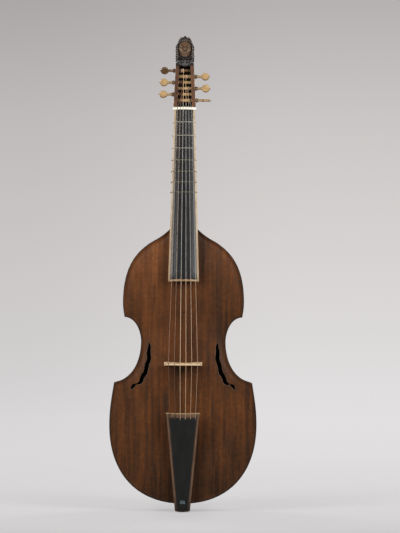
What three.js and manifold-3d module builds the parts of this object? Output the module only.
// Bass viola da gamba with six strings, seven tied frets and a carved head.
// Lengths are in millimetres. +Z runs up the neck, the belly faces -Y and the flat back faces +Y.
// The body is drawn from its bottom edge upwards, and the finished viol is then moved so that the
// origin lies on the flat back, on the centre line, level with the widest place of the lower bout.
import * as THREE from "three";
import { mergeVertices } from "three/addons/utils/BufferGeometryUtils.js";
import Module from "manifold-3d";

const wasm = await Module();
wasm.setup();

// Fits shared by all pieces.
const glueGap = 0.3;
const weldTolerance = 0.001;
const cutOverrun = 40;

// Body outline, seen from the front: lower bout, lower corner, waist, upper corner, upper bout and
// shoulder. Each row is a share of the lower bout's width and a share of the body's length.
const bodyLength = 717;
const lowerBoutWidth = 383;
const outlineShares = [
  [1, 0.2859],
  [0.9373, 0.4393],
  [0.5735, 0.5886],
  [0.7995, 0.6764],
  [0.822, 0.7308],
  [0.5185, 0.9331],
];
const neckRootWidth = 66;
const outlineTail = 12;
const edgeOverhang = 3;

// Plates, ribs and blocks. Heights are shares of the body's length.
const backThickness = 4;
const bellyEdge = 4.5;
const bellyThickness = 4.2;
const bellyArch = 16;
const bellyChannel = 0.8;
const ribDepth = 124;
const ribThickness = 2;
const backBendShare = 0.7141;
const backCant = 42;
const archSpineShares = [0.1883, 0.8368];
const endBlockWidth = 72;
const endBlockThickness = 24;
const cornerBlockDepth = 34;
const cornerBlockReach = 48;

// Inside work on the belly and the back. The upper brace stands at a share of the way from the
// back's bend to the top block, and other heights are shares of the body's length.
const bassBarOffset = 24;
const bassBarWidth = 7;
const bassBarHeight = 13;
const bassBarShares = [0.2734, 0.8312];
const soundPostRadius = 4.5;
const soundPostOffset = 26;
const soundPostDrop = 16;
const postPlateLength = 62;
const postPlateThickness = 5;
const braceWidth = 12;
const braceHeight = 14;
const lowerBraceShare = 0.2092;
const upperBraceShare = 0.5414;

// Sound holes: flame-edged C shapes that run beside the waist.
const soundHoleTopShare = 0.5844;
const soundHoleLengthShare = 0.1688;
const soundHoleOffsetShare = 0.2324;
const soundHoleReach = 45.5;
const soundHoleWidth = 11;
const soundHoleWave = 1.2;

// Neck and heel, measured from the playing surface at the nut.
const neckRise = 309;
const rootStandoff = 23;
const neckInset = 1.2;
const neckDepthAtNut = 14;
const neckDepthAtHeel = 20;
const heelStart = 228;
const heelEnd = 288;

// Fingerboard, its pale edging, and the nut.
const fingerboardLength = 452;
const fingerboardThickness = 13;
const fingerboardWidthAtNut = 54;
const fingerboardWidthAtEnd = 80;
const camberRadius = 100;
const edgingWidth = 5;
const nutThickness = 7;
const nutWidth = 60.5;
const nutRise = 2.4;

// Tied gut frets. They are tied a little nearer the nut than equal temperament puts them.
const fretCount = 7;
const fretLead = 4.8;
const fretRadius = 0.6;
const fretKnotRadius = 1.5;

// Bridge. Its action is how far the crown stands over the playing surface carried on to it.
const bridgePlaceShare = 0.5077;
const bridgeHeight = 69.5;
const bridgeAction = 9.75;
const bridgeFootSpan = 99;
const bridgeFootThickness = 10;
const bridgeTopThickness = 3.6;
const bridgeCrownRadius = 82;

// Tailpiece and the hook bar that holds it. The lifts are heights over the belly's crown and edge.
const tailpieceTopShare = 0.3305;
const tailpieceTopLift = 37.9;
const tailpieceBottom = -18;
const tailpieceBottomLift = 19.9;
const tailpieceWidthAtTop = 86;
const tailpieceWidthAtBottom = 39;
const tailpieceThickness = 7.5;
const tailpieceCamberRadius = 140;
const tailpieceEdging = 7;
const tailpieceTopEdging = 9;
const saddleThickness = 2.4;
const saddleRise = 1.2;
const saddleOverhang = 1.2;
const stringHoleInset = 17;
const stringHoleClearance = 0.6;
const hookWidth = 13;
const hookLow = 2.6;
const hookHigh = 10;
const hookLip = 1.4;
const hookNose = 2.5;
const mortiseClearance = 0.5;

// Peg box, measured along the neck beyond the nut and back from the playing surface.
const pegBoxLength = 128;
const pegBoxWidthAtNut = 60;
const pegBoxWidthAtHead = 48;
const cheekThickness = 10;
const pegBoxFloor = 7;
const pegBoxEndWall = 8;
const pegBoxFrontAtNut = 1;
const pegBoxFrontAtHead = 19.5;
const pegBoxChin = 42;
const pegBoxBackAtHead = 51;
const chinRun = 16;

// Pegs. The last stands clear of the peg box's end wall.
const firstPegPlace = 27.8;
const lastPegMargin = 10.2;
const firstPegDepth = 17;
const lastPegDepth = 31;
const pegRadiusAtHead = 4.6;
const pegRadiusAtTip = 3.9;
const pegClearance = 0.35;
const pegStandoff = 28;
const pegCollarRadius = 5.6;
const pegCollarLength = 7;
const pegHeadRadius = 10.6;
const pegHeadThickness = 7.4;
const pegRestAngles = [88, 30, 20, 24, 26, -38];

// Strings, from the bass on the left to the treble on the right.
const stringRadii = [0.85, 0.75, 0.65, 0.55, 0.45, 0.35];
const nutStringSpacing = 7.4;
const bridgeStringSpacing = 15;
const tailStringSpacing = 13.2;
const stringPegOrder = [1, 3, 5, 4, 2, 0];
const windingStarts = [-6, -5, -3, 3, 8, 11];
const windingLoops = 3;
const windingSteps = 24;
const windingSides = 6;
const windingGap = 0.5;
const stringSides = 6;
const holeSides = 8;
const stringEndKnot = 1.8;

// Carved head.
const headHeight = 76;
const headWidth = 50;
const headDepth = 60;

// Places that follow from the sizes above.
const ribBack = backThickness + glueGap;
const ribFront = ribBack + ribDepth;
const bellyUnderside = ribFront + glueGap;
const bellyFront = bellyUnderside + bellyEdge;
const bellyCrown = bellyFront + bellyArch;
const innerFace = edgeOverhang + ribThickness + glueGap;
const lowerBoutHeight = bodyLength * outlineShares[0][1];
const backBendHeight = bodyLength * backBendShare;
const [archSpineLow, archSpineHigh] = archSpineShares.map((share) => bodyLength * share);
const [bassBarLow, bassBarHigh] = bassBarShares.map((share) => bodyLength * share);
const topBlockLow = bodyLength - endBlockThickness;
const lowerBraceHeight = bodyLength * lowerBraceShare;
const upperBraceHeight = THREE.MathUtils.lerp(backBendHeight, topBlockLow, upperBraceShare);
const soundHoleTop = bodyLength * soundHoleTopShare;
const soundHoleLength = bodyLength * soundHoleLengthShare;
const soundHoleOffset = lowerBoutWidth * soundHoleOffsetShare;
const bridgePlace = bodyLength * bridgePlaceShare;
const bridgeTopStandoff = bellyCrown + bridgeHeight;
const tailpieceTop = bodyLength * tailpieceTopShare;
const tailpieceTopStandoff = bellyCrown + tailpieceTopLift;
const tailpieceBottomStandoff = bellyFront + tailpieceBottomLift;
const nutHeight = bodyLength + neckRise;
// The playing surface rises from the neck root until it is the action below the bridge's crown.
const neckAngle = Math.atan2(
  bridgeTopStandoff - bridgeAction - bellyFront - rootStandoff,
  bodyLength - bridgePlace,
);
const nutStandoff = bellyFront + rootStandoff - neckRise * Math.tan(neckAngle);

// Turns a closed geometry into a solid for cutting and joining.
function toSolid(geometry) {
  const bare = geometry.clone();
  bare.deleteAttribute("normal");
  bare.deleteAttribute("uv");
  const merged = mergeVertices(bare, weldTolerance);
  const corners = merged.index.array;
  const kept = [];
  for (let i = 0; i < corners.length; i += 3) {
    const [a, b, c] = [corners[i], corners[i + 1], corners[i + 2]];
    if (a !== b && b !== c && c !== a) kept.push(a, b, c);
  }
  const vertProperties = merged.attributes.position.array;
  const build = (triangles) =>
    new wasm.Manifold(
      new wasm.Mesh({ numProp: 3, vertProperties, triVerts: new Uint32Array(triangles) }),
    );
  const solid = build(kept);
  // Reversing the whole list turns every face round.
  return solid.volume() > 0 ? solid : build(kept.reverse());
}

// Gives a cut or joined solid back as a geometry.
function toGeometry(solid) {
  const mesh = solid.getMesh();
  const geometry = new THREE.BufferGeometry();
  geometry.setAttribute("position", new THREE.BufferAttribute(mesh.vertProperties, 3));
  geometry.setIndex(new THREE.BufferAttribute(mesh.triVerts, 1));
  geometry.computeVertexNormals();
  return geometry;
}

// Skins a row of rings with triangles. Open rows get end caps, looped rows close on themselves.
function skin(rings, looped = false) {
  const count = rings[0].length;
  const positions = [];
  const index = [];
  rings.flat().forEach((p) => positions.push(p.x, p.y, p.z));
  const bands = looped ? rings.length : rings.length - 1;
  for (let i = 0; i < bands; i++) {
    const next = (i + 1) % rings.length;
    for (let j = 0; j < count; j++) {
      const k = (j + 1) % count;
      const [a, b, c, d] = [i * count + j, i * count + k, next * count + k, next * count + j];
      index.push(a, b, c, a, c, d);
    }
  }
  const cap = (start, forwards) => {
    const centre = new THREE.Vector3();
    for (let j = 0; j < count; j++) {
      centre.add(new THREE.Vector3().fromArray(positions, (start + j) * 3));
    }
    centre.divideScalar(count);
    const middle = positions.length / 3;
    positions.push(centre.x, centre.y, centre.z);
    for (let j = 0; j < count; j++) {
      const [a, b] = [start + j, start + ((j + 1) % count)];
      index.push(middle, ...(forwards ? [a, b] : [b, a]));
    }
  };
  if (!looped) {
    cap((rings.length - 1) * count, true);
    cap(0, false);
  }
  const geometry = new THREE.BufferGeometry();
  geometry.setAttribute("position", new THREE.Float32BufferAttribute(positions, 3));
  geometry.setIndex(index);
  return toSolid(geometry);
}

// A round bar along a row of points, each with its own radius.
function bar(points, radii, sides, looped = false) {
  const count = points.length;
  const tangents = points.map((_, i) => {
    const before = points[looped ? (i + count - 1) % count : Math.max(i - 1, 0)];
    const after = points[looped ? (i + 1) % count : Math.min(i + 1, count - 1)];
    return after.clone().sub(before).normalize();
  });
  const across = new THREE.Vector3(1, 0, 0);
  if (Math.abs(across.dot(tangents[0])) > Math.SQRT1_2) across.set(0, 1, 0);
  const rings = points.map((point, i) => {
    across.addScaledVector(tangents[i], -across.dot(tangents[i])).normalize();
    const other = tangents[i].clone().cross(across);
    const radius = Array.isArray(radii) ? radii[i] : radii;
    return Array.from({ length: sides }, (_, j) => {
      const turn = (j / sides) * Math.PI * 2;
      return point
        .clone()
        .addScaledVector(across, radius * Math.cos(turn))
        .addScaledVector(other, radius * Math.sin(turn));
    });
  });
  return skin(rings, looped);
}

// A solid moved as a whole.
const moved = (solid, x, y, z) => toSolid(toGeometry(solid).translate(x, y, z));

// The biggest of the separate bodies that a cut leaves.
const largest = (solid) => solid.decompose().sort((a, b) => b.volume() - a.volume())[0];

// A flat shape drawn in X and Z, thickened from yBack towards the front.
function plateSolid(points, yBack, thickness) {
  const shape = new THREE.Shape(points);
  const geometry = new THREE.ExtrudeGeometry(shape, { depth: thickness, bevelEnabled: false });
  geometry.rotateX(Math.PI / 2);
  geometry.translate(0, yBack, 0);
  return toSolid(geometry);
}

// A flat shape drawn in Y and Z, thickened along X about the centre line.
function sideSolid(points, width) {
  const shape = new THREE.Shape(points.map(([y, z]) => new THREE.Vector2(y, z)));
  const geometry = new THREE.ExtrudeGeometry(shape, { depth: width, bevelEnabled: false });
  geometry.translate(0, 0, -width / 2);
  geometry.applyMatrix4(
    new THREE.Matrix4().makeBasis(
      new THREE.Vector3(0, 1, 0),
      new THREE.Vector3(0, 0, 1),
      new THREE.Vector3(1, 0, 0),
    ),
  );
  return toSolid(geometry);
}

// A block between two corners.
function blockSolid(low, high) {
  const size = high.clone().sub(low);
  const geometry = new THREE.BoxGeometry(size.x, size.y, size.z);
  const middle = low.clone().add(high).divideScalar(2);
  geometry.translate(middle.x, middle.y, middle.z);
  return toSolid(geometry);
}

// Body outline

// Corner points of the right-hand half, from the bottom centre to the neck root.
const outlineKnots = [
  new THREE.Vector2(0, 0),
  ...outlineShares.map(
    ([across, up]) => new THREE.Vector2((across * lowerBoutWidth) / 2, up * bodyLength),
  ),
  new THREE.Vector2(neckRootWidth / 2, bodyLength),
];
// Curve handles of each stretch, as shares of its width and height.
const outlineHandleShares = [
  [0.625, 0, 1, 0.388],
  [0, 0.392, 0.538, 0.685],
  [0.699, 0.083, 1, 0.545],
  [0, 0.29, 0.224, 0.965],
  [0.45, 0.28, 1, 0.59],
  [0, 0.447, 0.279, 0.782],
  [0.3, 0.36, 0.5, 0.32],
];
const outlineSteps = [11, 4, 7, 6, 2, 8, 5];
const lowerCornerIndex = outlineSteps[0] + outlineSteps[1];
const upperCornerIndex = lowerCornerIndex + outlineSteps[2] + outlineSteps[3];

function makeHalfOutline() {
  const points = [outlineKnots[0].clone()];
  outlineHandleShares.forEach(([ax, az, bx, bz], i) => {
    const [from, to] = [outlineKnots[i], outlineKnots[i + 1]];
    const at = (sx, sz) =>
      new THREE.Vector2(from.x + (to.x - from.x) * sx, from.y + (to.y - from.y) * sz);
    const curve = new THREE.CubicBezierCurve(from, at(ax, az), at(bx, bz), to);
    points.push(...curve.getPoints(outlineSteps[i]).slice(1));
  });
  return points;
}
const halfOutline = makeHalfOutline();

// The right-hand half drawn in from the edge, with its end carried on past the neck root.
function insetHalf(inset) {
  const last = halfOutline.length - 1;
  const onward = halfOutline[last].clone().sub(halfOutline[last - 1]).setLength(outlineTail);
  const curve = [...halfOutline, halfOutline[last].clone().add(onward)];
  const mirrored = new THREE.Vector2(-curve[1].x, curve[1].y);
  return curve.map((point, i) => {
    const before = i === 0 ? mirrored : curve[i - 1];
    const after = curve[Math.min(i + 1, curve.length - 1)];
    const into = point.clone().sub(before).normalize();
    const out = i === curve.length - 1 ? into.clone() : after.clone().sub(point).normalize();
    const normal = new THREE.Vector2(-into.y - out.y, into.x + out.x).normalize();
    const miter = -into.y * normal.x + into.x * normal.y;
    return point.clone().addScaledVector(normal, inset / miter);
  });
}

const mirrorPoint = (p) => new THREE.Vector2(-p.x, p.y);

// The whole outline as a closed row of points, past the neck root at the top.
function insetOutline(inset) {
  const half = insetHalf(inset);
  return [...half, ...half.slice(1).reverse().map(mirrorPoint)];
}

// Places on the canted back

// How far the back's outer face has come forward at a height.
function backLean(height) {
  const share = (height - backBendHeight) / (bodyLength - backBendHeight);
  return backCant * Math.max(0, share);
}

// A slab that follows the back, from one distance in front of its outer face to another.
function backSlab(from, to, low, high) {
  const bend = low < backBendHeight && high > backBendHeight ? [backBendHeight] : [];
  const heights = [low, ...bend, high];
  const near = heights.map((z) => [-backLean(z) - from, z]);
  const far = heights.map((z) => [-backLean(z) - to, z]).reverse();
  return sideSolid([...near, ...far], lowerBoutWidth + cutOverrun);
}

// The space between back and belly that the ribs fill.
function ribSpace(clearance, low, high) {
  const heights = [low, backBendHeight, high];
  const near = heights.map((z) => [-backLean(z) - ribBack - clearance, z]);
  const far = [
    [-ribFront + clearance, high],
    [-ribFront + clearance, low],
  ];
  return sideSolid([...near, ...far], lowerBoutWidth + cutOverrun);
}

const bodyTop = bodyLength - glueGap;
const outlinePrism = (inset) =>
  plateSolid(insetOutline(inset), cutOverrun, bellyCrown + cutOverrun * 2);
const hookSlot = blockSolid(
  new THREE.Vector3(-hookWidth / 2 - glueGap, -bellyCrown - cutOverrun, -cutOverrun),
  new THREE.Vector3(hookWidth / 2 + glueGap, -backThickness, hookHigh + glueGap),
);

// Belly

// Height of the arch as a share of the way in from the edge to the middle.
const archRingShares = [0, 0.03, 0.075, 0.16, 0.3, 0.48, 0.72, 1];
const archFlatShare = 0.03;
const archChannelShare = 0.075;
const archFullnessPower = 1.25;
const insideRingShares = [0, 0.14, 0.3, 0.48, 0.72, 1];
const insideFlatShare = 0.14;

function archHeight(share) {
  if (share <= archFlatShare) return 0;
  if (share <= archChannelShare) return -bellyChannel;
  const climb = (share - archChannelShare) / (1 - archChannelShare);
  const rise = bellyArch + bellyChannel;
  return -bellyChannel + rise * Math.sin((climb * Math.PI) / 2) ** archFullnessPower;
}

function insideHeight(share) {
  if (share <= insideFlatShare) return 0;
  return Math.max(0, archHeight(share) + bellyEdge - bellyThickness);
}

// The outline drawn in towards the arch's spine line, at a depth given by the height rule.
function archRing(share, heightAt) {
  const loop = [
    ...halfOutline,
    new THREE.Vector2(0, bodyLength),
    ...halfOutline.slice(1).reverse().map(mirrorPoint),
  ];
  return loop.map((p) => {
    const spine = new THREE.Vector2(0, THREE.MathUtils.clamp(p.y, archSpineLow, archSpineHigh));
    const place = p.clone().lerp(spine, share);
    return new THREE.Vector3(place.x, heightAt(share), place.y);
  });
}

// Centre line of a sound hole: share across its reach, share down its length, share of its width.
const soundHoleShares = [
  [0.02, 0, 0.12],
  [-0.01, 0.085, 0.6],
  [-0.01, 0.187, 0.85],
  [0.01, 0.29, 1],
  [0.045, 0.403, 1],
  [0.105, 0.504, 1],
  [0.19, 0.598, 1],
  [0.275, 0.69, 1],
  [0.37, 0.771, 0.95],
  [0.48, 0.842, 0.85],
  [0.59, 0.885, 0.55],
  [0.71, 0.897, 0.18],
  [0.8, 0.905, 0.5],
  [0.88, 0.94, 0.75],
  [1, 1, 0.3],
];
const soundHoleSteps = 36;
const soundHoleWaves = 5;

function soundHoleOutline(side) {
  const spine = new THREE.SplineCurve(
    soundHoleShares.map(
      ([across, down]) =>
        new THREE.Vector2(
          soundHoleOffset + soundHoleReach * across,
          soundHoleTop - soundHoleLength * down,
        ),
    ),
  );
  const spans = soundHoleShares.length - 1;
  const [inner, outer] = [[], []];
  for (let i = 0; i <= soundHoleSteps; i++) {
    const t = i / soundHoleSteps;
    const k = Math.min(Math.floor(t * spans), spans - 1);
    const [from, to] = [soundHoleShares[k], soundHoleShares[k + 1]].map(([, , share]) => share);
    const width = THREE.MathUtils.lerp(from, to, t * spans - k);
    const tangent = spine.getTangent(t);
    const normal = new THREE.Vector2(-tangent.y, tangent.x);
    const wave = soundHoleWave * width * Math.sin(t * soundHoleWaves * Math.PI * 2);
    const centre = spine.getPoint(t).addScaledVector(normal, -wave);
    const half = (soundHoleWidth / 2) * width;
    outer.push(centre.clone().addScaledVector(normal, half));
    inner.push(centre.clone().addScaledVector(normal, -half));
  }
  return [...outer, ...inner.reverse()].map((p) => new THREE.Vector2(p.x * side, p.y));
}

function makeBelly() {
  const front = archRingShares.map((s) => archRing(s, (t) => -bellyFront - archHeight(t)));
  const inside = insideRingShares.map((s) => archRing(s, (t) => -bellyUnderside - insideHeight(t)));
  const shell = skin([...front.reverse(), ...inside], false);
  const hole = (side) =>
    plateSolid(soundHoleOutline(side), -ribBack, bellyCrown + cutOverrun);
  return shell.subtract(hole(1)).subtract(hole(-1)).subtract(hookSlot);
}
const belly = makeBelly();

// The belly moved a glue gap inwards or outwards, for fitting what touches it.
const bellyForInside = moved(belly, 0, glueGap, 0);
const bellyForOutside = moved(belly, 0, -glueGap, 0);

// Back, ribs and blocks

// The back is flush with the ribs, and only the belly overhangs them.
const back = backSlab(0, backThickness, -cutOverrun, bodyTop).intersect(
  outlinePrism(edgeOverhang),
);

// One rib: the band between the rib line and its inner face, trimmed a glue gap short at its ends.
function makeRib(first, last, side) {
  const trim = (row) => {
    const end = row.length - 1;
    const short = (a, b) => a.clone().lerp(b, glueGap / a.distanceTo(b));
    const head = first === 0 ? row[0].clone() : short(row[0], row[1]);
    const tail = short(row[end], row[end - 1]);
    return [head, ...row.slice(1, end), tail];
  };
  const outer = trim(insetHalf(edgeOverhang).slice(first, last + 1));
  const inner = trim(insetHalf(edgeOverhang + ribThickness).slice(first, last + 1));
  const band = [...outer, ...inner.reverse()].map((p) => new THREE.Vector2(p.x * side, p.y));
  return plateSolid(band, 0, ribFront + cutOverrun)
    .intersect(ribSpace(0, -cutOverrun, bodyTop))
    .subtract(hookSlot);
}
const outlineEnd = halfOutline.length;

// A block that fills the inside of the ribs within a drawn window.
function makeBlock(window) {
  return plateSolid(window, 0, ribFront + cutOverrun)
    .intersect(outlinePrism(innerFace))
    .intersect(ribSpace(glueGap, -cutOverrun, bodyTop))
    .subtract(hookSlot);
}

const blockWindow = (width, low, high) => [
  new THREE.Vector2(-width / 2, low),
  new THREE.Vector2(width / 2, low),
  new THREE.Vector2(width / 2, high),
  new THREE.Vector2(-width / 2, high),
];

// The window of a corner block: square to the line that halves the corner.
function cornerWindow(index, side, clearance) {
  const half = insetHalf(0);
  const corner = half[index];
  const into = corner.clone().sub(half[index - 1]).normalize();
  const out = half[index + 1].clone().sub(corner).normalize();
  const inward = out.sub(into).normalize();
  const along = new THREE.Vector2(-inward.y, inward.x);
  const at = (a, b) => corner.clone().addScaledVector(along, a).addScaledVector(inward, b);
  const reach = cornerBlockReach + clearance;
  const depth = cornerBlockDepth + clearance;
  return [at(-reach, -depth), at(reach, -depth), at(reach, depth), at(-reach, depth)].map(
    (p) => new THREE.Vector2(p.x * side, p.y),
  );
}

// Work inside the body

// A brace across the back from rib to rib, cut away round the corner blocks.
function makeBrace(middle, along, depth) {
  let brace = backSlab(ribBack, ribBack + depth, middle - along / 2, middle + along / 2);
  brace = brace.intersect(outlinePrism(innerFace));
  [-1, 1].forEach((side) => {
    [lowerCornerIndex, upperCornerIndex].forEach((index) => {
      const window = cornerWindow(index, side, glueGap);
      brace = brace.subtract(plateSolid(window, cutOverrun, bellyCrown + cutOverrun));
    });
  });
  return largest(brace);
}

// The bar is deepest over its middle third, and its belly side is cut by the belly itself.
function makeBassBar() {
  const crown = bellyUnderside + bellyArch;
  const third = (bassBarHigh - bassBarLow) / 3;
  const profile = [
    [-bellyUnderside + bassBarHeight, bassBarLow + third],
    [-bellyUnderside + bassBarHeight, bassBarHigh - third],
    [-bellyUnderside, bassBarHigh],
    [-crown, bassBarHigh],
    [-crown, bassBarLow],
    [-bellyUnderside, bassBarLow],
  ];
  const blank = moved(sideSolid(profile, bassBarWidth), -bassBarOffset, 0, 0);
  return largest(blank.subtract(bellyForInside));
}

const soundPostHeight = bridgePlace - soundPostDrop;

function makeSoundPost() {
  const from = ribBack + postPlateThickness + glueGap;
  const to = bellyCrown - bellyThickness / 2;
  const sides = 16;
  const geometry = new THREE.CylinderGeometry(soundPostRadius, soundPostRadius, to - from, sides);
  geometry.translate(soundPostOffset, -(from + to) / 2, soundPostHeight);
  return largest(toSolid(geometry).subtract(bellyForInside));
}

// Neck frame

const alongNeck = new THREE.Vector3(0, -Math.sin(neckAngle), -Math.cos(neckAngle));
const outOfNeck = new THREE.Vector3(0, -Math.cos(neckAngle), Math.sin(neckAngle));
const nutPoint = new THREE.Vector3(0, -nutStandoff, nutHeight);

// A point from its run down from the nut, its place across, and its height off the playing surface.
function neckPoint(run, across, rise) {
  return nutPoint
    .clone()
    .addScaledVector(alongNeck, run)
    .addScaledVector(outOfNeck, rise)
    .add(new THREE.Vector3(across, 0, 0));
}

const camberDrop = (across, radius) => radius - Math.sqrt(radius * radius - across * across);

function fingerboardHalf(run) {
  const share = run / fingerboardLength;
  return THREE.MathUtils.lerp(fingerboardWidthAtNut, fingerboardWidthAtEnd, share) / 2;
}

// Fingerboard, edging and nut

const camberSteps = 10;

// The outline of a cambered strip across the board: curved top, flat bottom.
function camberedStrip(run, from, to, top, bottom, steps = camberSteps) {
  const points = [];
  for (let i = 0; i <= steps; i++) {
    const across = THREE.MathUtils.lerp(from, to, i / steps);
    points.push(neckPoint(run, across, top - camberDrop(across, camberRadius)));
  }
  points.push(neckPoint(run, to, bottom), neckPoint(run, from, bottom));
  return points;
}

const coreLength = fingerboardLength - edgingWidth - glueGap;
const coreHalf = (run) => fingerboardHalf(run) - edgingWidth - glueGap;

function makeFingerboard() {
  const ends = [glueGap, coreLength];
  return skin(ends.map((s) => camberedStrip(s, -coreHalf(s), coreHalf(s), 0, -fingerboardThickness)));
}

function makeSideEdging(side) {
  const ends = [glueGap, fingerboardLength];
  return skin(
    ends.map((s) => {
      const outer = fingerboardHalf(s);
      return camberedStrip(s, side * (outer - edgingWidth), side * outer, 0, -fingerboardThickness, 2);
    }),
  );
}

function makeEndEdging() {
  const ends = [fingerboardLength - edgingWidth, fingerboardLength];
  return skin(ends.map((s) => camberedStrip(s, -coreHalf(s), coreHalf(s), 0, -fingerboardThickness)));
}

// Where each string crosses the nut, the bridge and the tailpiece.
const stringCount = stringRadii.length;
const fromMiddle = (i) => i - (stringCount - 1) / 2;
const nutAcross = (i) => fromMiddle(i) * nutStringSpacing;
const bridgeAcross = (i) => fromMiddle(i) * bridgeStringSpacing;
const nutStringPoint = (i, run) =>
  neckPoint(run, nutAcross(i), nutRise - camberDrop(nutAcross(i), camberRadius));
const bridgeStringPoint = (i) =>
  new THREE.Vector3(
    bridgeAcross(i),
    -bridgeTopStandoff + camberDrop(bridgeAcross(i), bridgeCrownRadius),
    bridgePlace,
  );

// A bar that clears a string by the glue gap, for cutting its seat.
const grooveRun = 12;
function nutGroove(i) {
  const [from, to] = [nutStringPoint(i, -grooveRun), nutStringPoint(i, grooveRun)];
  return bar([from, to], stringRadii[i] + glueGap, holeSides);
}

// The nut's top slopes down to the peg box over its last quarter.
const nutRoundShares = [
  [-1, 0.5],
  [-0.75, 1],
  [0, 1],
];

function makeNut() {
  const half = nutWidth / 2;
  const rings = nutRoundShares.map(([along, rise]) =>
    camberedStrip(along * nutThickness, -half, half, rise * nutRise, -fingerboardThickness),
  );
  let nut = skin(rings);
  for (let i = 0; i < stringCount; i++) nut = nut.subtract(nutGroove(i));
  return nut;
}

// Neck

const neckTop = -fingerboardThickness - glueGap;
const neckHalf = (run) => fingerboardHalf(run) - neckInset;

// Depth of the heel where it meets the back's outer face.
const heelDepth =
  (nutStandoff + heelEnd * Math.sin(neckAngle) - backCant) / Math.cos(neckAngle) + neckTop;

function neckDepth(run) {
  const slim = THREE.MathUtils.lerp(neckDepthAtNut, neckDepthAtHeel, Math.min(run / heelStart, 1));
  if (run <= heelStart) return slim;
  const share = Math.min((run - heelStart) / (heelEnd - heelStart), 1);
  return THREE.MathUtils.lerp(slim, heelDepth, 1 - Math.cos((share * Math.PI) / 2));
}

const neckSectionSteps = 12;

function neckSection(run, half, depth, top) {
  return Array.from({ length: neckSectionSteps + 1 }, (_, i) => {
    const turn = (i / neckSectionSteps) * Math.PI;
    return neckPoint(run, half * Math.cos(turn), top - depth * Math.sin(turn));
  });
}

function makeNeck() {
  const heelSteps = 7;
  const runs = [-nutThickness, 0, heelStart];
  for (let i = 1; i <= heelSteps; i++) {
    runs.push(heelStart + ((heelEnd - heelStart) * i) / heelSteps);
  }
  runs.push(heelEnd + cutOverrun);
  const rings = runs.map((run) => {
    const shown = Math.max(run, 0);
    return neckSection(run, neckHalf(shown), neckDepth(shown), neckTop);
  });
  const above = blockSolid(
    new THREE.Vector3(-nutWidth, -bellyCrown - cutOverrun, bodyLength),
    new THREE.Vector3(nutWidth, cutOverrun, nutHeight + cutOverrun),
  );
  return skin(rings).intersect(above);
}

// Frets

const speakingLength = nutStringPoint(0, 0).distanceTo(bridgeStringPoint(0));
const fretRun = (number) => speakingLength * (1 - 2 ** (-number / 12)) - fretLead;

function makeFret(number) {
  const run = fretRun(number);
  const standoff = glueGap + fretRadius;
  const half = fingerboardHalf(run);
  const depth = neckDepth(run);
  const path = [];
  const radii = [];
  const add = (across, rise, radius = fretRadius) => {
    path.push(neckPoint(run, across, rise));
    radii.push(radius);
  };
  const arcSteps = 8;
  for (let i = 0; i <= arcSteps; i++) {
    const across = THREE.MathUtils.lerp(-half, half, i / arcSteps);
    add(across, standoff - camberDrop(across, camberRadius));
  }
  const sideTop = -camberDrop(half, camberRadius) - fretRadius;
  add(half + standoff, sideTop);
  add(half + standoff, -fingerboardThickness);
  for (let i = 1; i < neckSectionSteps; i++) {
    const turn = (i / neckSectionSteps) * Math.PI;
    add(
      (neckHalf(run) + standoff) * Math.cos(turn),
      neckTop - (depth + standoff) * Math.sin(turn),
    );
  }
  add(-half - standoff, -fingerboardThickness);
  const knotOut = half + glueGap + fretKnotRadius;
  add(-knotOut, sideTop - fretKnotRadius * 2, fretKnotRadius);
  add(-knotOut, sideTop - fretKnotRadius, fretKnotRadius);
  add(-half - standoff, sideTop);
  return bar(path, radii, 5, true);
}

// Bridge

// Half outline: share of half the foot span, share of the height from the feet to the crown.
const bridgeOutlineShares = [
  [0.66, 0],
  [1, 0],
  [0.99, 0.06],
  [0.9, 0.13],
  [0.86, 0.28],
  [0.9, 0.4],
  [0.82, 0.46],
  [0.83, 0.54],
  [0.94, 0.6],
  [0.95, 0.7],
];
const bridgeArchShares = [
  [0, 0.36],
  [0.22, 0.34],
  [0.42, 0.27],
  [0.56, 0.15],
  [0.6, 0.06],
];
const bridgeHeartShares = [
  [0, 0.5],
  [0.1, 0.58],
  [0.21, 0.68],
  [0.2, 0.78],
  [0.1, 0.81],
  [0, 0.76],
];
const bridgeEyeShares = [
  [0.42, 0.5],
  [0.6, 0.44],
  [0.68, 0.52],
  [0.62, 0.66],
  [0.5, 0.7],
  [0.4, 0.62],
];
const bridgeBase = bellyFront + bellyArch / 2;
const bridgeRise = bridgeTopStandoff - bridgeBase;

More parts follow.
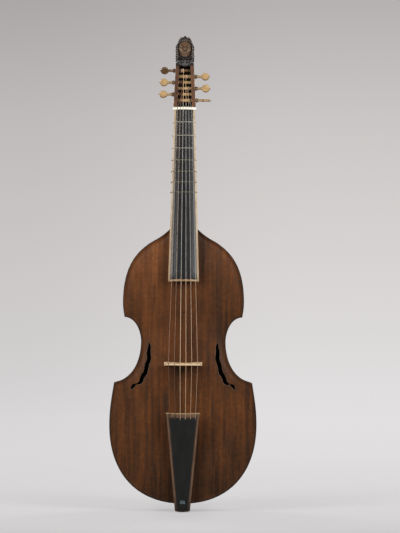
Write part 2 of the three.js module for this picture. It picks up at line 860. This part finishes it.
function makeBridge() {
  const place = ([across, up]) =>
    new THREE.Vector2((across * bridgeFootSpan) / 2, bridgeBase + up * bridgeRise);
  const mirrored = (row) => row.map((p) => new THREE.Vector2(-p.x, p.y));
  const sideRow = bridgeOutlineShares.map(place);
  const crownSteps = 10;
  const crownHalf = sideRow[sideRow.length - 1].x;
  const crown = [];
  for (let i = 0; i <= crownSteps; i++) {
    const across = THREE.MathUtils.lerp(crownHalf, -crownHalf, i / crownSteps);
    const drop = camberDrop(across, bridgeCrownRadius);
    crown.push(new THREE.Vector2(across, bridgeTopStandoff - drop));
  }
  const arch = bridgeArchShares.map(place);
  const rightArch = arch.slice(1);
  const outline = [
    ...sideRow,
    ...crown,
    ...mirrored(sideRow).reverse(),
    ...mirrored(rightArch).reverse(),
    arch[0],
    ...rightArch,
  ];
  const heart = bridgeHeartShares.map(place);
  const heartLoop = [...heart, ...mirrored(heart.slice(1, -1)).reverse()];
  const eye = bridgeEyeShares.map(place);
  const shape = new THREE.Shape(outline);
  [heartLoop, eye, mirrored(eye)].forEach((row) => shape.holes.push(new THREE.Path(row)));
  const geometry = new THREE.ExtrudeGeometry(shape, {
    depth: bridgeFootThickness,
    bevelEnabled: false,
  });
  // Drawn with its height along Y: its height turns to face the front and its thickness stands up.
  geometry.applyMatrix4(
    new THREE.Matrix4().makeBasis(
      new THREE.Vector3(1, 0, 0),
      new THREE.Vector3(0, -1, 0),
      new THREE.Vector3(0, 0, -1),
    ),
  );
  geometry.translate(0, 0, bridgePlace + bridgeFootThickness / 2);
  const wedge = sideSolid(
    [
      [-bridgeBase + cutOverrun, bridgePlace + bridgeFootThickness],
      [-bridgeTopStandoff - cutOverrun, bridgePlace + bridgeTopThickness / 3],
      [-bridgeTopStandoff - cutOverrun, bridgePlace - bridgeTopThickness],
      [-bridgeBase + cutOverrun, bridgePlace - bridgeFootThickness / 2],
    ],
    bridgeFootSpan + cutOverrun,
  );
  let bridge = toSolid(geometry).intersect(wedge).subtract(bellyForOutside);
  // Each notch is open towards the front, so it is cut twice: along the string and in front of it.
  for (let i = 0; i < stringCount; i++) {
    const notch = stringRun(i, stringRadii[i] + glueGap);
    bridge = bridge.subtract(notch).subtract(moved(notch, 0, -stringRadii[i], 0));
  }
  return largest(bridge);
}

// Tailpiece frame

const tailDrop = new THREE.Vector3(
  0,
  tailpieceTopStandoff - tailpieceBottomStandoff,
  tailpieceBottom - tailpieceTop,
);
const tailpieceLength = tailDrop.length();
const alongTail = tailDrop.clone().normalize();
const outOfTail = new THREE.Vector3(0, alongTail.z, -alongTail.y);
const tailOrigin = new THREE.Vector3(0, -tailpieceTopStandoff, tailpieceTop);

// A point from its run down from the tailpiece's top, its place across and its height off the face.
function tailPoint(run, across, rise) {
  return tailOrigin
    .clone()
    .addScaledVector(alongTail, run)
    .addScaledVector(outOfTail, rise)
    .add(new THREE.Vector3(across, 0, 0));
}

function tailHalf(run) {
  const share = run / tailpieceLength;
  return THREE.MathUtils.lerp(tailpieceWidthAtTop, tailpieceWidthAtBottom, share) / 2;
}

function tailStrip(run, from, to, top, bottom, steps) {
  const face = [];
  const underside = [];
  for (let i = 0; i <= steps; i++) {
    const across = THREE.MathUtils.lerp(from, to, i / steps);
    const drop = camberDrop(across, tailpieceCamberRadius);
    face.push(tailPoint(run, across, top - drop));
    underside.push(tailPoint(run, across, bottom - drop));
  }
  return [...face, ...underside.reverse()];
}

const tailAcross = (i) => fromMiddle(i) * tailStringSpacing;
const tailHoleRadius = (i) => stringRadii[i] + stringHoleClearance;
const tailCoreHalf = (run) => tailHalf(run) - tailpieceEdging - glueGap;
const tailCoreTop = saddleThickness + tailpieceTopEdging + glueGap * 2;
const mortise = blockSolid(
  new THREE.Vector3(
    -hookWidth / 2 - mortiseClearance,
    -tailpieceTopStandoff,
    hookLow - hookLip - mortiseClearance,
  ),
  new THREE.Vector3(hookWidth / 2 + mortiseClearance, 0, hookHigh + mortiseClearance),
);

function makeTailpiece() {
  const steps = 8;
  let core = skin(
    [tailCoreTop, tailpieceLength].map((s) =>
      tailStrip(s, -tailCoreHalf(s), tailCoreHalf(s), 0, -tailpieceThickness, steps),
    ),
  );
  for (let i = 0; i < stringCount; i++) {
    const ends = [tailpieceThickness, -tailpieceThickness * 3];
    const hole = ends.map((rise) => tailPoint(stringHoleInset, tailAcross(i), rise));
    core = core.subtract(bar(hole, tailHoleRadius(i), holeSides));
  }
  return core.subtract(mortise);
}

function makeTailSideEdging(side) {
  const steps = 2;
  const ends = [saddleThickness + glueGap, tailpieceLength];
  return skin(
    ends.map((s) => {
      const outer = tailHalf(s);
      return tailStrip(s, side * (outer - tailpieceEdging), side * outer, 0, -tailpieceThickness, steps);
    }),
  );
}

function makeTailTopEdging() {
  const steps = 8;
  const ends = [saddleThickness + glueGap, saddleThickness + glueGap + tailpieceTopEdging];
  return skin(
    ends.map((s) => tailStrip(s, -tailCoreHalf(s), tailCoreHalf(s), 0, -tailpieceThickness, steps)),
  );
}

function makeTailSaddle() {
  const steps = 8;
  const half = tailHalf(0) + saddleOverhang;
  const rings = [0, saddleThickness].map((s) =>
    tailStrip(s, -half, half, saddleRise, -tailpieceThickness, steps),
  );
  let saddle = skin(rings);
  for (let i = 0; i < stringCount; i++) {
    saddle = saddle.subtract(stringRun(i, stringRadii[i] + glueGap));
  }
  return saddle;
}

// Hook bar

function makeHookBar() {
  const face = -tailPoint(tailpieceLength, 0, 0).y;
  const neckDepthPlace = face + hookLip / 2;
  const profile = [
    [-ribBack, hookLow],
    [-ribBack, hookHigh],
    [-neckDepthPlace - hookNose, hookHigh],
    [-neckDepthPlace - hookNose, hookLow - hookLip],
    [-neckDepthPlace, hookLow - hookLip],
    [-neckDepthPlace, hookLow],
  ];
  return sideSolid(profile, hookWidth);
}

// Peg box

// Depths of the front and back edges behind the playing surface, at a place beyond the nut.
const pegBoxFront = (place) =>
  THREE.MathUtils.lerp(pegBoxFrontAtNut, pegBoxFrontAtHead, place / pegBoxLength);
const pegBoxHalf = (place) =>
  THREE.MathUtils.lerp(pegBoxWidthAtNut, pegBoxWidthAtHead, place / pegBoxLength) / 2;
const pegBoxStart = nutThickness + glueGap;
const pegBoxChinShares = [0.62, 0.86, 1];

function pegBoxProfile() {
  const neckBack = -neckTop + neckDepthAtNut;
  const front = [pegBoxStart, pegBoxLength].map((q) => [q, pegBoxFront(q)]);
  const chin = pegBoxChinShares.map((share, i) => [
    pegBoxStart + (chinRun * i) / (pegBoxChinShares.length - 1),
    THREE.MathUtils.lerp(neckBack, pegBoxChin, share),
  ]);
  const rear = [[pegBoxLength, pegBoxBackAtHead]];
  return { front, chin, rear };
}

const boxPoint = (place, across, depth) => neckPoint(-place, across, -depth);

// A solid between two widths that follows a side profile given as places and depths.
function boxSolid(profile, halfAt) {
  const ring = (side) => profile.map(([q, v]) => boxPoint(q, side * halfAt(q), v));
  return skin([ring(-1), ring(1)]);
}

const pegShare = (i) => i / (stringCount - 1);
const lastPegPlace = pegBoxLength - pegBoxEndWall - lastPegMargin;
const pegPlace = (i) => THREE.MathUtils.lerp(firstPegPlace, lastPegPlace, pegShare(i));
const pegDepth = (i) => THREE.MathUtils.lerp(firstPegDepth, lastPegDepth, pegShare(i));
const pegSide = (i) => (i % 2 === 0 ? 1 : -1);
const pegFacets = 14;

// Radius of a peg at a place along its axis, measured from the centre line towards its head.
function pegRadius(i, towardsHead) {
  const half = pegBoxHalf(pegPlace(i));
  const share = THREE.MathUtils.clamp((towardsHead + half) / (half * 2), 0, 1);
  return THREE.MathUtils.lerp(pegRadiusAtTip, pegRadiusAtHead, share);
}

function makePegBox() {
  const { front, chin, rear } = pegBoxProfile();
  const outside = boxSolid([...front, ...rear, ...chin.slice().reverse()], pegBoxHalf);
  const inner = (q) => pegBoxHalf(q) - cheekThickness;
  const channelEnd = pegBoxLength - pegBoxEndWall;
  const channel = boxSolid(
    [
      [pegBoxStart - cutOverrun, -cutOverrun],
      [channelEnd, -cutOverrun],
      [channelEnd, pegBoxBackAtHead - pegBoxFloor],
      [pegBoxStart + chinRun, pegBoxChin - pegBoxFloor],
      [pegBoxStart + cheekThickness / 2, -neckTop + neckDepthAtNut - pegBoxFloor],
      [pegBoxStart + cheekThickness / 2, -neckTop],
      [pegBoxStart - cutOverrun, -neckTop],
    ],
    inner,
  );
  let box = outside.subtract(channel);
  for (let i = 0; i < stringCount; i++) {
    const half = pegBoxHalf(pegPlace(i)) + cutOverrun;
    const ends = [-half, half].map((x) => boxPoint(pegPlace(i), x * pegSide(i), pegDepth(i)));
    const radii = [-half, half].map((x) => {
      const share = (x + pegBoxHalf(pegPlace(i))) / (pegBoxHalf(pegPlace(i)) * 2);
      const shank = THREE.MathUtils.lerp(pegRadiusAtTip, pegRadiusAtHead, share);
      return shank + pegClearance;
    });
    box = box.subtract(bar(ends, radii, pegFacets));
  }
  return box;
}

// Pegs

// Turned profile from the tip through the cheeks to the head: radius, and the place along the axis.
function pegShank(half, headCentre) {
  const collarAt = (share) => half + pegCollarLength * share;
  const intoHead = headCentre - pegHeadRadius / 2;
  return [
    [0, -half],
    [pegRadiusAtTip, -half],
    [pegRadiusAtHead, half],
    [pegRadiusAtHead, collarAt(0.3)],
    [pegCollarRadius, collarAt(0.5)],
    [pegCollarRadius, collarAt(0.8)],
    [pegRadiusAtTip, collarAt(1)],
    [pegRadiusAtTip, intoHead],
    [0, intoHead],
  ].map(([radius, place]) => new THREE.Vector2(radius, place));
}

// The round flat head: share of its radius, share of half its thickness.
const pegHeadShares = [
  [0, -1],
  [0.72, -1],
  [1, -0.5],
  [1, 0.5],
  [0.72, 1],
  [0, 1],
];
const pegHeadFacets = 16;

// A peg along X with its head towards +X, drawn about the place where its axis meets the middle.
function makePeg(i) {
  const half = pegBoxHalf(pegPlace(i));
  const headCentre = half + pegStandoff;
  const shank = new THREE.LatheGeometry(pegShank(half, headCentre), pegFacets);
  shank.rotateZ(-Math.PI / 2);
  const discProfile = pegHeadShares.map(
    ([out, up]) => new THREE.Vector2(out * pegHeadRadius, (up * pegHeadThickness) / 2),
  );
  const disc = new THREE.LatheGeometry(discProfile, pegHeadFacets);
  disc.translate(headCentre, 0, 0);
  return toSolid(shank).add(toSolid(disc));
}

// Stands a peg in its holes: left-hand pegs turn round to face the other way.
function placePeg(mesh, i) {
  mesh.position.copy(boxPoint(pegPlace(i), 0, pegDepth(i)));
  mesh.rotation.z = pegSide(i) > 0 ? 0 : Math.PI;
  mesh.rotation.x = THREE.MathUtils.degToRad(-pegRestAngles[i]);
}

// Strings

// Where a string reaches its peg: its place along the peg, the peg's axis there and the wrap radius.
function pegContact(i) {
  const peg = stringPegOrder[i];
  const across = windingStarts[i];
  const axis = boxPoint(pegPlace(peg), across, pegDepth(peg));
  return { peg, across, axis, radius: wrapRadius(i, peg, across) };
}

function wrapRadius(i, peg, across) {
  return pegRadius(peg, across * pegSide(peg)) + glueGap + stringRadii[i];
}

// A point round a peg's axis. Angle 0 is straight up, and a quarter turn is to the front.
function aroundPeg(axis, across, radius, angle) {
  const [sin, cos] = [Math.sin(angle), Math.cos(angle)];
  return new THREE.Vector3(across, axis.y - radius * sin, axis.z + radius * cos);
}

const wrapAngles = [0.9, 0.45, 0];
const knotNeckShare = 0.4;

// The whole run of a string: round its peg, over the nut and the bridge, and into the tailpiece.
function stringPath(i) {
  const { across, axis, radius } = pegContact(i);
  const nut = nutStringPoint(i, -nutThickness);
  const [forwards, down] = [axis.y - nut.y, axis.z - nut.z];
  const leave = Math.atan2(forwards, -down) - Math.acos(radius / Math.hypot(forwards, down));
  const wrap = wrapAngles.map((back) => aroundPeg(axis, across, radius, leave - back));
  const drop = camberDrop(tailAcross(i), tailpieceCamberRadius);
  const radiusHere = stringRadii[i];
  const atTail = (run, rise) => tailPoint(run, tailAcross(i), rise - drop);
  return [
    ...wrap,
    nut,
    nutStringPoint(i, 0),
    bridgeStringPoint(i),
    atTail(saddleThickness / 2, saddleRise + radiusHere / 2),
    atTail(stringHoleInset - radiusHere, glueGap + radiusHere),
    atTail(stringHoleInset, -tailpieceThickness - stringEndKnot * knotNeckShare - glueGap),
    atTail(stringHoleInset, -tailpieceThickness - stringEndKnot * (1 + knotNeckShare)),
  ];
}

// The stretch from the nut over the bridge to the tailpiece, for cutting what it crosses.
function stringRun(i, radius) {
  return bar(stringPath(i).slice(wrapAngles.length, -2), radius, stringSides);
}

function makeString(i) {
  const path = stringPath(i);
  const radii = path.map(() => stringRadii[i]);
  radii[path.length - 1] = stringEndKnot;
  return bar(path, radii, stringSides);
}

// The turns of a string round its peg, beside the place where the string arrives.
function makeWinding(i) {
  const { peg, across, axis } = pegContact(i);
  const side = pegSide(peg);
  const pitch = stringRadii[i] * 2 + windingGap;
  const points = [];
  for (let k = 0; k <= windingLoops * windingSteps; k++) {
    const loops = k / windingSteps;
    const place = across + side * pitch * (1 + loops);
    points.push(aroundPeg(axis, place, wrapRadius(i, peg, place), loops * Math.PI * 2));
  }
  reportGap(i, points);
  return bar(points, stringRadii[i], windingSides);
}

// Measures the least distance between neighbouring loops and prints what is left between them.
function reportGap(i, points) {
  const nearLoop = Math.round(windingSteps / 8);
  let least = Infinity;
  points.forEach((point, a) => {
    points.slice(a + windingSteps - nearLoop, a + windingSteps + nearLoop).forEach((other) => {
      least = Math.min(least, point.distanceTo(other));
    });
  });
  const gap = least - stringRadii[i] * 2;
  console.log(`winding of string ${i + 1}: least gap to itself ${gap.toFixed(2)} mm`);
}

// Carved head

// The head is a row of rings that looks to the front, with its height along Z.
// Rows: height, half width, front reach and back reach, each a share of the head's own size.
const headRingShares = [
  [0, 0.9, 0.27, 0.26],
  [0.06, 0.88, 0.3, 0.28],
  [0.12, 0.88, 0.37, 0.31],
  [0.17, 0.91, 0.45, 0.34],
  [0.22, 0.94, 0.48, 0.36],
  [0.28, 0.96, 0.49, 0.38],
  [0.34, 0.98, 0.5, 0.39],
  [0.4, 0.99, 0.5, 0.4],
  [0.46, 1, 0.5, 0.41],
  [0.52, 1, 0.49, 0.42],
  [0.58, 1, 0.49, 0.42],
  [0.64, 0.99, 0.5, 0.42],
  [0.7, 0.97, 0.5, 0.41],
  [0.77, 0.92, 0.48, 0.4],
  [0.84, 0.82, 0.43, 0.36],
  [0.9, 0.68, 0.35, 0.3],
  [0.95, 0.5, 0.25, 0.22],
  [0.985, 0.28, 0.14, 0.12],
];
// Features of the face: place across, height, half width, half height and rise, as shares.
const faceFeatureShares = [
  [0, 0.5, 0.09, 0.09, 0.06],
  [0, 0.43, 0.11, 0.05, 0.12],
  [0.36, 0.57, 0.17, 0.035, -0.055],
  [0.34, 0.65, 0.22, 0.03, 0.03],
  [0.42, 0.44, 0.2, 0.08, 0.03],
  [0, 0.345, 0.2, 0.022, 0.045],
  [0, 0.29, 0.2, 0.02, 0.02],
  [0, 0.21, 0.2, 0.045, 0.065],
];
const headFrontSteps = 18;
const headRearSteps = 14;
const faceSpan = THREE.MathUtils.degToRad(112);
const hairRise = 1.5;
const hairCurlTurns = 9;
const hairCurlRows = 6;
const hairFadeShare = 0.25;

function featureRise(across, height) {
  const bump = (x, z, w, h, rise) => rise * Math.exp(-(((across - x) / w) ** 2) - ((height - z) / h) ** 2);
  return faceFeatureShares.reduce((sum, [x, z, w, h, rise]) => {
    const mirrored = x > 0 ? bump(-x, z, w, h, rise) : 0;
    return sum + bump(x, z, w, h, rise) + mirrored;
  }, 0);
}

function headRing([height, wide, front, rear]) {
  const angles = [];
  for (let i = 0; i < headFrontSteps; i++) {
    angles.push(-faceSpan / 2 + (faceSpan * i) / headFrontSteps);
  }
  for (let i = 0; i < headRearSteps; i++) {
    angles.push(faceSpan / 2 + ((Math.PI * 2 - faceSpan) * i) / headRearSteps);
  }
  return angles.map((angle) => {
    const forwards = Math.cos(angle);
    const across = Math.sin(angle) * wide;
    const reach = (forwards > 0 ? front : rear) * headDepth;
    const face = forwards > 0 ? featureRise(across, height) * headDepth * forwards : 0;
    const inHair = THREE.MathUtils.smoothstep(Math.abs(angle), faceSpan * 0.4, faceSpan * 0.5);
    const turns = Math.cos(angle * hairCurlTurns + Math.floor(height * hairCurlRows) * Math.PI);
    const fade = Math.min(height / hairFadeShare, 1);
    const curl = inHair * hairRise * (turns + 1) * fade;
    const radius = 1 + curl / headDepth;
    return new THREE.Vector3(
      (across * headWidth * radius) / 2,
      -forwards * reach * radius - face,
      height * headHeight,
    );
  });
}

// The head stands on the peg box's end and leans as far as the neck does.
function placeHead(mesh) {
  mesh.position.copy(
    boxPoint(pegBoxLength + glueGap, 0, (pegBoxFrontAtHead + pegBoxBackAtHead) / 2),
  );
  mesh.rotation.x = -neckAngle;
}

// Materials

const finish = (color, roughness) => new THREE.MeshStandardMaterial({ color, roughness, metalness: 0 });
const bellyWood = finish(0x5a331b, 0.45);
const bodyWood = finish(0x4a2a18, 0.45);
const innerWood = finish(0xb08a5a, 0.8);
const ebony = finish(0x1c1b1b, 0.4);
const edging = finish(0xcbb184, 0.5);
const tailEdgingWood = finish(0x6a4432, 0.5);
const bone = finish(0xf2ead8, 0.35);
const boxwood = finish(0xc9a469, 0.45);
const gut = finish(0xc8b189, 0.5);
const mapleWood = finish(0xdcbf8e, 0.6);
const headWood = finish(0x2c211c, 0.4);

const viol = new THREE.Group();

function addPiece(name, solid, material) {
  const mesh = new THREE.Mesh(toGeometry(solid), material);
  mesh.name = name;
  viol.add(mesh);
  return mesh;
}

// Sound box
addPiece("belly", belly, bellyWood);
addPiece("back", back, bodyWood);
[
  ["right", 1],
  ["left", -1],
].forEach(([sideName, side]) => {
  addPiece(`lower_rib_${sideName}`, makeRib(0, lowerCornerIndex, side), bodyWood);
  addPiece(`middle_rib_${sideName}`, makeRib(lowerCornerIndex, upperCornerIndex, side), bodyWood);
  addPiece(`upper_rib_${sideName}`, makeRib(upperCornerIndex, outlineEnd, side), bodyWood);
  const lowerCorner = cornerWindow(lowerCornerIndex, side, 0);
  const upperCorner = cornerWindow(upperCornerIndex, side, 0);
  addPiece(`lower_corner_block_${sideName}`, makeBlock(lowerCorner), innerWood);
  addPiece(`upper_corner_block_${sideName}`, makeBlock(upperCorner), innerWood);
});
const bottomWindow = blockWindow(endBlockWidth, -cutOverrun, innerFace + endBlockThickness);
const topWindow = blockWindow(endBlockWidth, bodyTop - endBlockThickness, bodyTop);
addPiece("bottom_block", makeBlock(bottomWindow), innerWood);
addPiece("top_block", makeBlock(topWindow), innerWood);
addPiece("bass_bar", makeBassBar(), innerWood);
addPiece("sound_post", makeSoundPost(), innerWood);
const postPlate = makeBrace(soundPostHeight, postPlateLength, postPlateThickness);
addPiece("sound_post_plate", postPlate, innerWood);
[
  ["lower_back_brace", lowerBraceHeight],
  ["bend_brace", backBendHeight],
  ["upper_back_brace", upperBraceHeight],
].forEach(([name, height]) => {
  addPiece(name, makeBrace(height, braceWidth, braceHeight), innerWood);
});

// Neck, peg box and head
addPiece("neck", makeNeck(), bodyWood);
addPiece("peg_box", makePegBox(), bodyWood);
placeHead(addPiece("carved_head", skin(headRingShares.map(headRing)), headWood));
addPiece("fingerboard", makeFingerboard(), ebony);
addPiece("fingerboard_edging_right", makeSideEdging(1), edging);
addPiece("fingerboard_edging_left", makeSideEdging(-1), edging);
addPiece("fingerboard_edging_end", makeEndEdging(), edging);
addPiece("nut", makeNut(), bone);
for (let number = 1; number <= fretCount; number++) {
  addPiece(`fret_${number}`, makeFret(number), gut);
}

// Bridge and tailpiece
addPiece("bridge", makeBridge(), mapleWood);
addPiece("tailpiece", makeTailpiece(), ebony);
addPiece("tailpiece_edging_right", makeTailSideEdging(1), tailEdgingWood);
addPiece("tailpiece_edging_left", makeTailSideEdging(-1), tailEdgingWood);
addPiece("tailpiece_edging_top", makeTailTopEdging(), tailEdgingWood);
addPiece("tailpiece_saddle", makeTailSaddle(), edging);
addPiece("hook_bar", makeHookBar(), ebony);

// Pegs and strings
for (let i = 0; i < stringCount; i++) {
  placePeg(addPiece(`peg_${i + 1}`, makePeg(i), boxwood), i);
  addPiece(`string_${i + 1}`, makeString(i), gut);
  addPiece(`string_${i + 1}_winding`, makeWinding(i), gut);
}

viol.position.z = -lowerBoutHeight;

export default viol;
